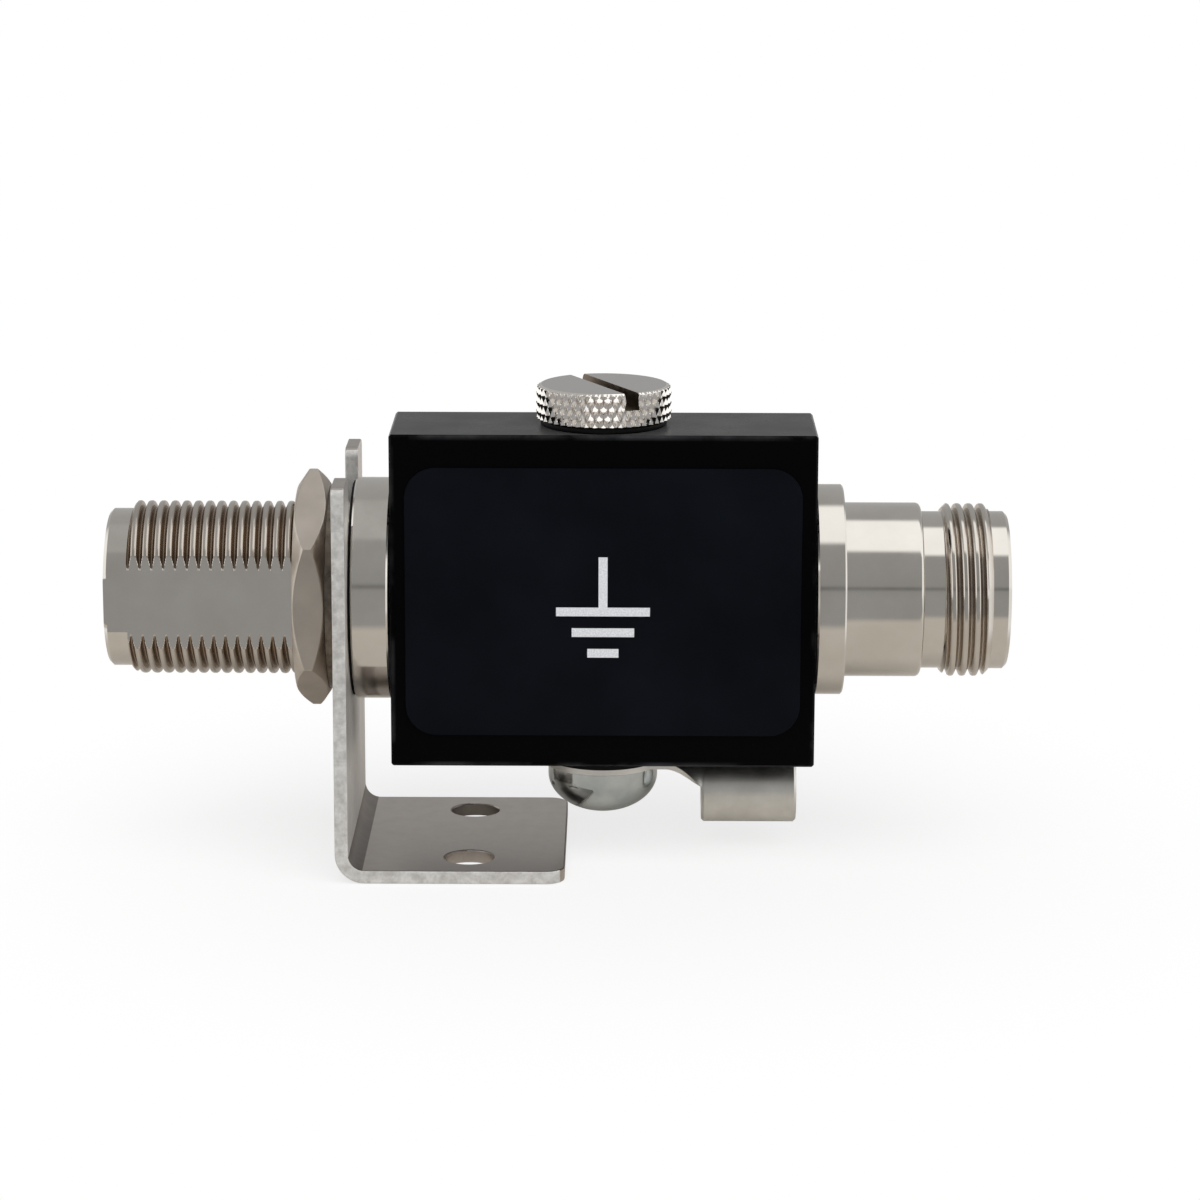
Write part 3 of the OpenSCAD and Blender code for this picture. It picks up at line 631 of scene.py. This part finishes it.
def capHead(size, base, top, radius):
    # knurled head, sawn through for the coin slot
    inner = radius - size["knurlDepth"]
    knurlFrom, knurlTo = base + size["lowChamfer"], top - size["rimChamfer"]
    count = round((knurlTo - knurlFrom) / size["knurlHeight"] * size["stepsUp"])
    rows = [(base, 0), (base, inner - size["lowChamfer"])]
    rows += [(knurlFrom + (knurlTo - knurlFrom) * i / count, radius, 0, 1) for i in range(count + 1)]
    rows += [
        (top - size["crownStep"], inner - size["crownStep"]), (top, inner - size["crownEdge"]), (top, 0),
    ]
    head = upright(turnedMesh(
        "capHead", rows, nickelUprightPaintedLight, segments=size["knurlColumns"] * size["stepsAcross"],
        knurlColumns=size["knurlColumns"], knurlHeight=size["knurlHeight"], knurlDepth=size["knurlDepth"],
        grime=size["grime"]))
    saw = bmesh.new()
    blade = (size["slotWidth"], 4 * radius, 2 * size["slotDepth"])
    addBox(saw, toBlock(0, 0, top), blade, size["slotAngle"])
    cutter = closeMesh(saw, "capSlot")
    cutter.materials.append(slotNickel)
    return combine(head, cutter)


def capShank(size, base, bottom):
    # threaded shank with a relief, let into the head a little
    threadTop, top = base - size["reliefLength"], base + size["letIn"]
    rows = [(bottom, 0), (bottom, size["shankRadius"] - size["depth"])]
    rows += threadRows(bottom, threadTop, size["shankRadius"], size["pitch"], size["rowsPerTurn"])
    rows += [(threadTop, size["reliefRadius"]), (top, size["reliefRadius"]), (top, 0)]
    return upright(turnedMesh(
        "capShank", rows, nickelUprightPaintedLight, segments=size["segments"], pitch=size["pitch"], depth=size["depth"],
        threadFrom=bottom, threadTo=threadTop, leadIn=size["leadIn"]))


def gasTubeCap(size):
    low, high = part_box("gas_tube_cap")
    top, bottom = fromBlock(high.z, 2), fromBlock(low.z, 2)
    base = top - size["headHeight"]
    head = capHead(size, base, top, (high.x - low.x) / 2 / mm)
    joined = combine(head, capShank(size, base, bottom), "UNION")
    mesh = evenNormals(finishMesh(joined, size["smoothAngle"]))
    # the turned top has a finish of its own
    mesh.materials.append(facedNickel)
    for face in mesh.polygons:
        if face.normal.z > size["topTilt"] and face.center.z > high.z - size["topDepth"] * mm:
            face.material_index = len(mesh.materials) - 1
    return mesh


dress("gasTubeCap", gasTubeCap(cap), None, "cap", "nickel_plate", "gas_tube_cap")
print("cap knurled")

# Grounding screw

screw = {
    "rim": 1.1, "rimChamfer": 0.15, "dome": 3.45, "domeSteps": 20, "domePole": 0.001,
    "shankRadius": 2.5, "pitch": 0.8, "depth": 0.4, "leadIn": 0.35, "segments": 144, "rowsPerTurn": 12,
    "crossWidth": 0.95, "crossSpan": 4.4, "crossDepth": 2.2, "crossTaper": 0.45, "crossAngle": 45,
}


def crossRecess(size, bottom):
    # two tapered slots that cross
    middle = toBlock(0, 0, bottom)
    tool = bmesh.new()
    for turn in (0, 90):
        bar = (size["crossWidth"], size["crossSpan"], 2 * size["crossDepth"])
        for corner in addBox(tool, middle, bar, size["crossAngle"] + turn):
            if corner.co.z > middle.z:
                corner.co.x = middle.x + (corner.co.x - middle.x) * size["crossTaper"]
                corner.co.y = middle.y + (corner.co.y - middle.y) * size["crossTaper"]
    return closeMesh(tool, "crossRecess")


def groundScrew(size):
    low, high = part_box("ground_screw")
    bottom, top = fromBlock(low.z, 2), fromBlock(high.z, 2)
    radius, rim = (high.x - low.x) / 2 / mm, size["rimChamfer"]
    seat = bottom + size["dome"] + size["rim"]
    rows = [(bottom, 0)]
    for i in range(size["domeSteps"] + 1):
        angle = math.radians(90) * (1 - i / size["domeSteps"])
        reach = max(radius * math.cos(angle), size["domePole"])
        rows.append((bottom + size["dome"] * (1 - math.sin(angle)), reach))
    rows += [(seat - rim, radius), (seat, radius - rim), (seat, size["shankRadius"] - size["depth"])]
    rows += threadRows(seat, top, size["shankRadius"], size["pitch"], size["rowsPerTurn"])
    rows += [(top, 0)]
    mesh = upright(turnedMesh(
        "groundScrew", rows, blueZinc, segments=size["segments"], pitch=size["pitch"], depth=size["depth"],
        threadFrom=seat, threadTo=top, leadIn=size["leadIn"]))
    return finishMesh(combine(mesh, crossRecess(size, bottom), crossed=True))


dress("groundScrew", groundScrew(screw), blueZinc, "screw", "blue_zinc", "ground_screw")
print("screw turned")

# Ring lug

lug = {
    "sheet": 0.5, "ringRadius": 5.3, "holeRadius": 2.65, "ringSides": 72, "neckWidth": 6.0, "lap": 0.02,
    "curlFrom": 5.8, "curlAngle": 76, "curlPower": 1.8, "leastBend": 0.05, "curlSteps": 24, "curlInto": 0.3,
    "barrelStart": 9.05, "barrelRadius": 3.05, "wall": 0.75, "barrelRound": 0.22, "segments": 96,
    "bevel": 0.07, "bevelSteps": 2, "sharpAngle": 60, "smoothAngle": 40,
}


def lugPlate(size, top):
    # flat ring with its neck, as one outline round a hole
    half, ring, sides = size["neckWidth"] / 2, size["ringRadius"], size["ringSides"]
    leave = math.asin(half / ring)
    spread = [leave + (2 * math.pi - 2 * leave) * i / sides for i in range(sides + 1)]
    outer = [(ring * math.cos(a), ring * math.sin(a)) for a in spread]
    outer += [(size["curlFrom"] + size["lap"], -half), (size["curlFrom"] + size["lap"], half)]
    around = [2 * math.pi * i / sides for i in range(sides)]
    hole = [(size["holeRadius"] * math.cos(a), size["holeRadius"] * math.sin(a)) for a in around]
    work = bmesh.new()
    edges = []
    for outline in (outer, hole):
        corners = [work.verts.new(toBlock(x, y, top)) for x, y in outline]
        edges += [work.edges.new((a, b)) for a, b in zip(corners, corners[1:] + corners[:1])]
    flat = bmesh.ops.triangle_fill(work, use_beauty=True, use_dissolve=False, edges=edges)["geom"]
    faces = [item for item in flat if isinstance(item, bmesh.types.BMFace)]
    lowered = bmesh.ops.extrude_face_region(work, geom=faces)["geom"]
    corners = [item for item in lowered if isinstance(item, bmesh.types.BMVert)]
    bmesh.ops.translate(work, vec=(0, 0, -size["sheet"] * mm), verts=corners)
    bmesh.ops.recalc_face_normals(work, faces=work.faces)
    return closeMesh(work, "lugPlate")


def lugCurl(size, top):
    # the neck's strip rolls down on both sides until it meets the barrel
    steps = lanes = size["curlSteps"]
    middle = top - size["sheet"] / 2
    begin, end, half = size["curlFrom"], size["barrelStart"], size["neckWidth"] / 2
    fullArc = math.radians(size["curlAngle"]) * (size["barrelRadius"] - size["wall"] / 2)
    work = bmesh.new()
    grid = {}
    for i in range(steps + 1):
        x = begin + (end + size["curlInto"] - begin) * (i / steps)
        share = min((x - begin) / (end - begin), 1)
        bend = math.radians(max(size["curlAngle"] * share ** size["curlPower"], size["leastBend"]))
        radius = (half + (fullArc - half) * share) / bend
        for j in range(lanes + 1):
            angle = bend * (2 * j / lanes - 1)
            for side in (-1, 1):
                reach = radius + side * size["sheet"] / 2
                level = middle - radius + reach * math.cos(angle)
                grid[i, j, side] = work.verts.new(toBlock(x, reach * math.sin(angle), level))
    quads = []
    for i in range(steps):
        for j in range(lanes):
            patch = ((i, j), (i + 1, j), (i + 1, j + 1), (i, j + 1))
            quads += [[(*corner, side) for corner in patch] for side in (-1, 1)]
        quads += [((i, j, -1), (i + 1, j, -1), (i + 1, j, 1), (i, j, 1)) for j in (0, lanes)]
    for j in range(lanes):
        quads += [((i, j, -1), (i, j + 1, -1), (i, j + 1, 1), (i, j, 1)) for i in (0, steps)]
    for quad in quads:
        work.faces.new([grid[corner] for corner in quad])
    bmesh.ops.recalc_face_normals(work, faces=work.faces)
    return closeMesh(work, "lugCurl")


def ringLug(size):
    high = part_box("ground_lug")[1]
    top, end = fromBlock(high.z, 2), fromBlock(high.x, 0)
    start, outer, ease = size["barrelStart"], size["barrelRadius"], size["barrelRound"]
    inner = outer - size["wall"]
    rows = [
        (start + ease, inner), (start, inner + ease), (start, outer - ease), (start + ease, outer),
        (end - ease, outer), (end, outer - ease), (end, inner + ease), (end - ease, inner),
    ]
    barrel = turnedMesh("lugBarrel", rows, tinnedCopper, segments=size["segments"])
    barrel.transform(Matrix.Translation(toBlock(0, 0, top - outer)))
    sheet = combine(lugPlate(size, top), lugCurl(size, top), "UNION")
    joined = combine(sheet, barrel, "UNION")
    softened = roundEdges(joined, size["bevel"], size["bevelSteps"], size["sharpAngle"])
    return finishMesh(softened, size["smoothAngle"])


dress("groundLug", ringLug(lug), tinnedCopper, "lug", "tinned_copper", "ground_lug")
print("lug curled")

# Pieces that keep their solids' shape: rounding of the edges and its steps, finish, body and slot

softPieces = {
    "jam_nut": (0.11, 2, dullNickel, "nut", "nickel_plate"),
    "lock_washer": (0.04, 2, washerSteelPaintedShade, "nut_carrier", "washer_steel"),
    "panel_gasket": (0.08, 2, blackRubber, "housing", "black_rubber"),
    "housing_block": (0.04, 2, anodised, "housing", "black_anodised"),
    "label_plate": (0.05, 2, film, "housing", "label_film"),
    "cap_seal": (0.18, 3, blackRubber, "cap_carrier", "black_rubber"),
    "ground_washer": (0.12, 2, blackRubber, "ground_stack", "black_rubber"),
}
for node, (width, steps, finish, body, slot) in softPieces.items():
    first, second = node.split("_")
    dress(first + second.title(), softenedCopy(node, width, steps), finish, body, slot, node)

# Earth symbol printed in the middle of the label

symbol = {"lineWidth": 0.8, "stem": 4.6, "bars": (8.4, 5.6, 2.8), "gap": 1.9, "thickness": 0.02}


def earthSymbol(size):
    front = fromBlock(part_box("label_plate")[0].y, 1)
    line, stem, gap = size["lineWidth"], size["stem"], size["gap"]
    level = (stem + gap * (len(size["bars"]) - 1)) / 2
    strokes = [(level - stem / 2, line, stem)]
    strokes += [(level - stem - line / 2 - i * gap, width, line) for i, width in enumerate(size["bars"])]
    work = bmesh.new()
    for z, width, tall in strokes:
        addBox(work, toBlock(0, front, z), (width, 2 * size["thickness"], tall))
    return finishMesh(closeMesh(work, "earthSymbol"))


dress("earthSymbol", earthSymbol(symbol), ink, "housing", "label_film")

# Bracket: sawn edges have their own finish; the leg's inner face takes a paler copy, painted light, and the
# inside of the bend a darker copy, painted shade

bracketSheet = {
    "edgeRound": 0.12, "sideReach": 1.0, "holeReach": 3.0,
    "edgeTilt": 0.6, "bendTilt": 0.1, "legTilt": 0.9, "holeTilt": 0.5,  # parts of a face's normal
}


def mountingBracket(size):
    low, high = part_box("mounting_bracket")
    finishes = [sheetFace, sheetEdge, sheetLegPaintedLight, sheetBendPaintedShade]
    mesh = softenedCopy("mounting_bracket", size["edgeRound"])
    piece = dress("mountingBracket", mesh, finishes, "housing", "zinc_sheet", "mounting_bracket")
    for face in mesh.polygons:
        across, side, up = face.normal.x, abs(face.normal.y), face.normal.z
        middle = face.center
        atSide = min(middle.y - low.y, high.y - middle.y) < size["sideReach"] * mm
        inHole = not atSide and abs(up) < size["holeTilt"] and abs(middle.x) < size["holeReach"] * mm
        onEdge = side > size["edgeTilt"] and not inHole
        inBend = min(across, up) > size["bendTilt"] and middle.z < blockLow.z
        onLeg = across > size["legTilt"] and middle.x < blockLow.x
        # the leg's inner face takes painted light and the inside of the bend painted shade
        finish = sheetEdge if onEdge else sheetBendPaintedShade if inBend else sheetLegPaintedLight if onLeg else sheetFace
        face.material_index = finishes.index(finish)
    return piece


mountingBracket(bracketSheet)

# Solids that show as they are, and only take a finish

for node, finish in {
    "cap_spring": springSteel, "tube_ceramic": ceramic, "tube_upper_electrode": silverPlate,
    "tube_lower_electrode": silverPlate, "line_rod": silverPlate, "bulkhead_contact": silverPlate,
    "plain_contact": silverPlate, "bulkhead_insulator": fluoropolymer, "plain_insulator": fluoropolymer,
}.items():
    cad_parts[node].data.materials.clear()
    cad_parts[node].data.materials.append(finish)
print("pieces dressed")

# Studio: lengths in metres, angles in degrees, the box's reach and the walls as parts of a ray's direction

studio = {
    "floorTone": "#FAFAFA", "mirroredTone": "#D9D3CB", "floorHalf": 4.0, "floorDrop": 0.03 * mm,
    "glowFrom": 0.02, "glowTo": 0.07, "leastGlow": 0.74, "paperFrom": 0.05, "paperTo": 0.08,
    "darkFloor": 0.36, "darkFrom": -0.044, "darkTo": -0.056,
    "sunAngle": 70, "sunTilt": (38, 0, 14), "sunPower": 1.9, "skyLevel": 0.42,
    "wallLevel": 1.15, "wallFrom": 0.5, "wallTo": 0.8,
    "room": [(-180, 0.46), (0, 0.36), (10, 0.34), (12, 0.2), (14, 0.2), (16, 0.34), (180, 0.46)],
    "softBox": (61, 66, 113, 119), "boxLevels": (0.46, 1.25), "boxReach": (-0.06, 0.05),
}


def buildWorld(light):
    world = bpy.data.worlds.new("studioWorld")
    scene.world = world
    world.use_nodes = True
    tree = world.node_tree
    tree.nodes.clear()
    way = addNode(tree, splitNode, [addNode(tree, "ShaderNodeTexCoord").outputs["Generated"]]).outputs
    # what polished metal sees from the front over the top to the back: dim room, soft box, grey wall
    ahead = addNode(tree, mathNode, [way[1], -1.0], operation="MULTIPLY")
    lift = addNode(tree, mathNode, [way[2], ahead], operation="ARCTAN2")
    share = addNode(tree, rangeNode, {"Value": lift, "From Min": -math.pi, "From Max": math.pi})
    room = addNode(tree, rampNode, {"Fac": share})
    stops = room.color_ramp.elements
    while len(stops) < len(light["room"]):
        stops.new(0.5)
    for stop, (degrees, grey) in zip(stops, light["room"]):
        stop.position, stop.color = (degrees + 180) / 360, (grey, grey, grey, 1)
    edges = [math.radians(a) for a in light["softBox"]]
    opened = addNode(tree, rangeNode, {"Value": lift, "From Min": edges[0], "From Max": edges[1]})
    boxed = addNode(tree, rangeNode, {
        "Value": lift, "From Min": edges[2], "From Max": edges[3], "To Min": opened, "To Max": 0.0})
    bright = addNode(tree, rangeNode, {
        "Value": way[0], "From Min": light["boxReach"][0], "From Max": light["boxReach"][1],
        "To Min": light["boxLevels"][0], "To Max": light["boxLevels"][1]})
    room = addNode(tree, mixNode, {"Factor": boxed, "A": room, "B": bright}, data_type="FLOAT")
    breadth = addNode(tree, mathNode, [way[0]], operation="ABSOLUTE")
    walls = addNode(tree, rangeNode, {
        "Value": breadth, "From Min": light["wallFrom"], "From Max": light["wallTo"],
        "To Min": 0.0, "To Max": light["wallLevel"]}, interpolation_type="SMOOTHSTEP")
    seen = addNode(tree, mathNode, [room, walls], operation="MAXIMUM")
    path = addNode(tree, "ShaderNodeLightPath").outputs
    clear = addNode(tree, mathNode, [path["Is Camera Ray"], path["Is Transmission Ray"]], operation="MAXIMUM")
    mirrored = {"Factor": path["Is Glossy Ray"], "A": light["skyLevel"], "B": seen}
    around = addNode(tree, mixNode, mirrored, data_type="FLOAT")
    strength = addNode(tree, mixNode, {"Factor": clear, "A": around, "B": 1.0}, data_type="FLOAT")
    back = addNode(tree, "ShaderNodeBackground", {"Color": (1, 1, 1, 1), "Strength": strength})
    addNode(tree, "ShaderNodeOutputWorld", [back])


def buildFloor(light):
    mesh = bpy.data.meshes.new("studioFloor")
    half, level = light["floorHalf"], -light["floorDrop"]  # just under the foot, so that no faces coincide
    corners = [(-half, -half, level), (half, -half, level), (half, half, level), (-half, half, level)]
    mesh.from_pydata(corners, [], [(0, 1, 2, 3)])
    floor = newObject("studioFloor", mesh)
    material = bpy.data.materials.new("studioFloor")
    material.use_nodes = True
    tree = material.node_tree
    tree.nodes.clear()
    place = addNode(tree, "ShaderNodeTexCoord").outputs["Object"]
    centred = addNode(tree, vectorNode, [place, (blockCentre.x, 0, 0)], operation="SUBTRACT")
    away = addNode(tree, vectorNode, [centred], operation="LENGTH").outputs["Value"]
    path = addNode(tree, "ShaderNodeLightPath").outputs
    # white to the camera, with the object's shadow kept near it
    far = addNode(tree, rangeNode, {
        "Value": away, "From Min": light["glowFrom"], "From Max": light["glowTo"],
        "To Min": light["leastGlow"], "To Max": 1.0}, interpolation_type="SMOOTHSTEP")
    shown = addNode(tree, mathNode, [far, path["Is Camera Ray"]], operation="MULTIPLY")
    # polished metal sees the paper a little darker and warmer
    tones = {firstColor: hexColor(light["floorTone"]), secondColor: hexColor(light["mirroredTone"])}
    sheet = addNode(tree, mixNode, {"Factor": path["Is Glossy Ray"], **tones}, data_type="RGBA")
    paper = addNode(tree, "ShaderNodeBsdfDiffuse", {"Color": sheet.outputs[mixedColor]})
    glow = addNode(tree, "ShaderNodeEmission", {"Color": (1, 1, 1, 1), "Strength": 1.0})
    lit = addNode(tree, "ShaderNodeMixShader", [shown, paper, glow])
    # polished metal sees the room's dim front beyond the paper
    front = addNode(tree, rangeNode, {
        "Value": addNode(tree, splitNode, [place]).outputs[1],
        "From Min": light["darkTo"], "From Max": light["darkFrom"], "To Min": 1.0, "To Max": 0.0})
    beyond = addNode(tree, mathNode, [front, path["Is Glossy Ray"]], operation="MULTIPLY")
    dim = addNode(tree, "ShaderNodeEmission", {"Color": (1, 1, 1, 1), "Strength": light["darkFloor"]})
    ahead = addNode(tree, "ShaderNodeMixShader", [beyond, lit, dim])
    # and the white paper far out on both sides
    reach = addNode(tree, splitNode, [addNode(tree, vectorNode, [centred], operation="ABSOLUTE")]).outputs
    sideways = addNode(tree, mathNode, [reach[0], reach[1]], operation="SUBTRACT")
    wide = addNode(tree, rangeNode, {
        "Value": sideways, "From Min": light["paperFrom"], "From Max": light["paperTo"],
    }, interpolation_type="SMOOTHSTEP")
    beside = addNode(tree, mathNode, [wide, path["Is Glossy Ray"]], operation="MULTIPLY")
    whole = addNode(tree, "ShaderNodeMixShader", [beside, ahead, glow])
    addNode(tree, "ShaderNodeOutputMaterial", [whole])
    mesh.materials.append(material)


def buildSun(light):
    lamp = bpy.data.lights.new("softSun", "SUN")
    lamp.energy, lamp.angle = light["sunPower"], math.radians(light["sunAngle"])
    sun = bpy.data.objects.new("softSun", lamp)
    sun.rotation_euler = [math.radians(a) for a in light["sunTilt"]]
    sun.visible_glossy = False  # polished metal sees the world's soft box instead
    scene.collection.objects.link(sun)


buildWorld(studio)
buildFloor(studio)
buildSun(studio)

# Camera: place in millimetres from the block's centre, angles in degrees

view = {
    "place": (1.488, -348.43, 78.18), "pitch": -12.82, "yaw": -0.294, "roll": 0.15,
    "lens": 117.72, "sensor": 36, "nearest": 0.01, "farthest": 20,
}


def buildCamera(view):
    data = bpy.data.cameras.new("photoCamera")
    data.sensor_width, data.lens = view["sensor"], view["lens"]
    data.clip_start, data.clip_end = view["nearest"], view["farthest"]
    camera = bpy.data.objects.new("photoCamera", data)
    yaw = Matrix.Rotation(math.radians(-view["yaw"]), 4, "Z")
    pitch = Matrix.Rotation(math.radians(90 + view["pitch"]), 4, "X")
    roll = Matrix.Rotation(math.radians(view["roll"]), 4, "Z")
    turn = yaw @ pitch @ roll
    camera.matrix_world = Matrix.Translation(toBlock(*view["place"])) @ turn
    scene.collection.objects.link(camera)
    scene.camera = camera


buildCamera(view)
scene.view_settings.view_transform = "Standard"

print("studio ready")
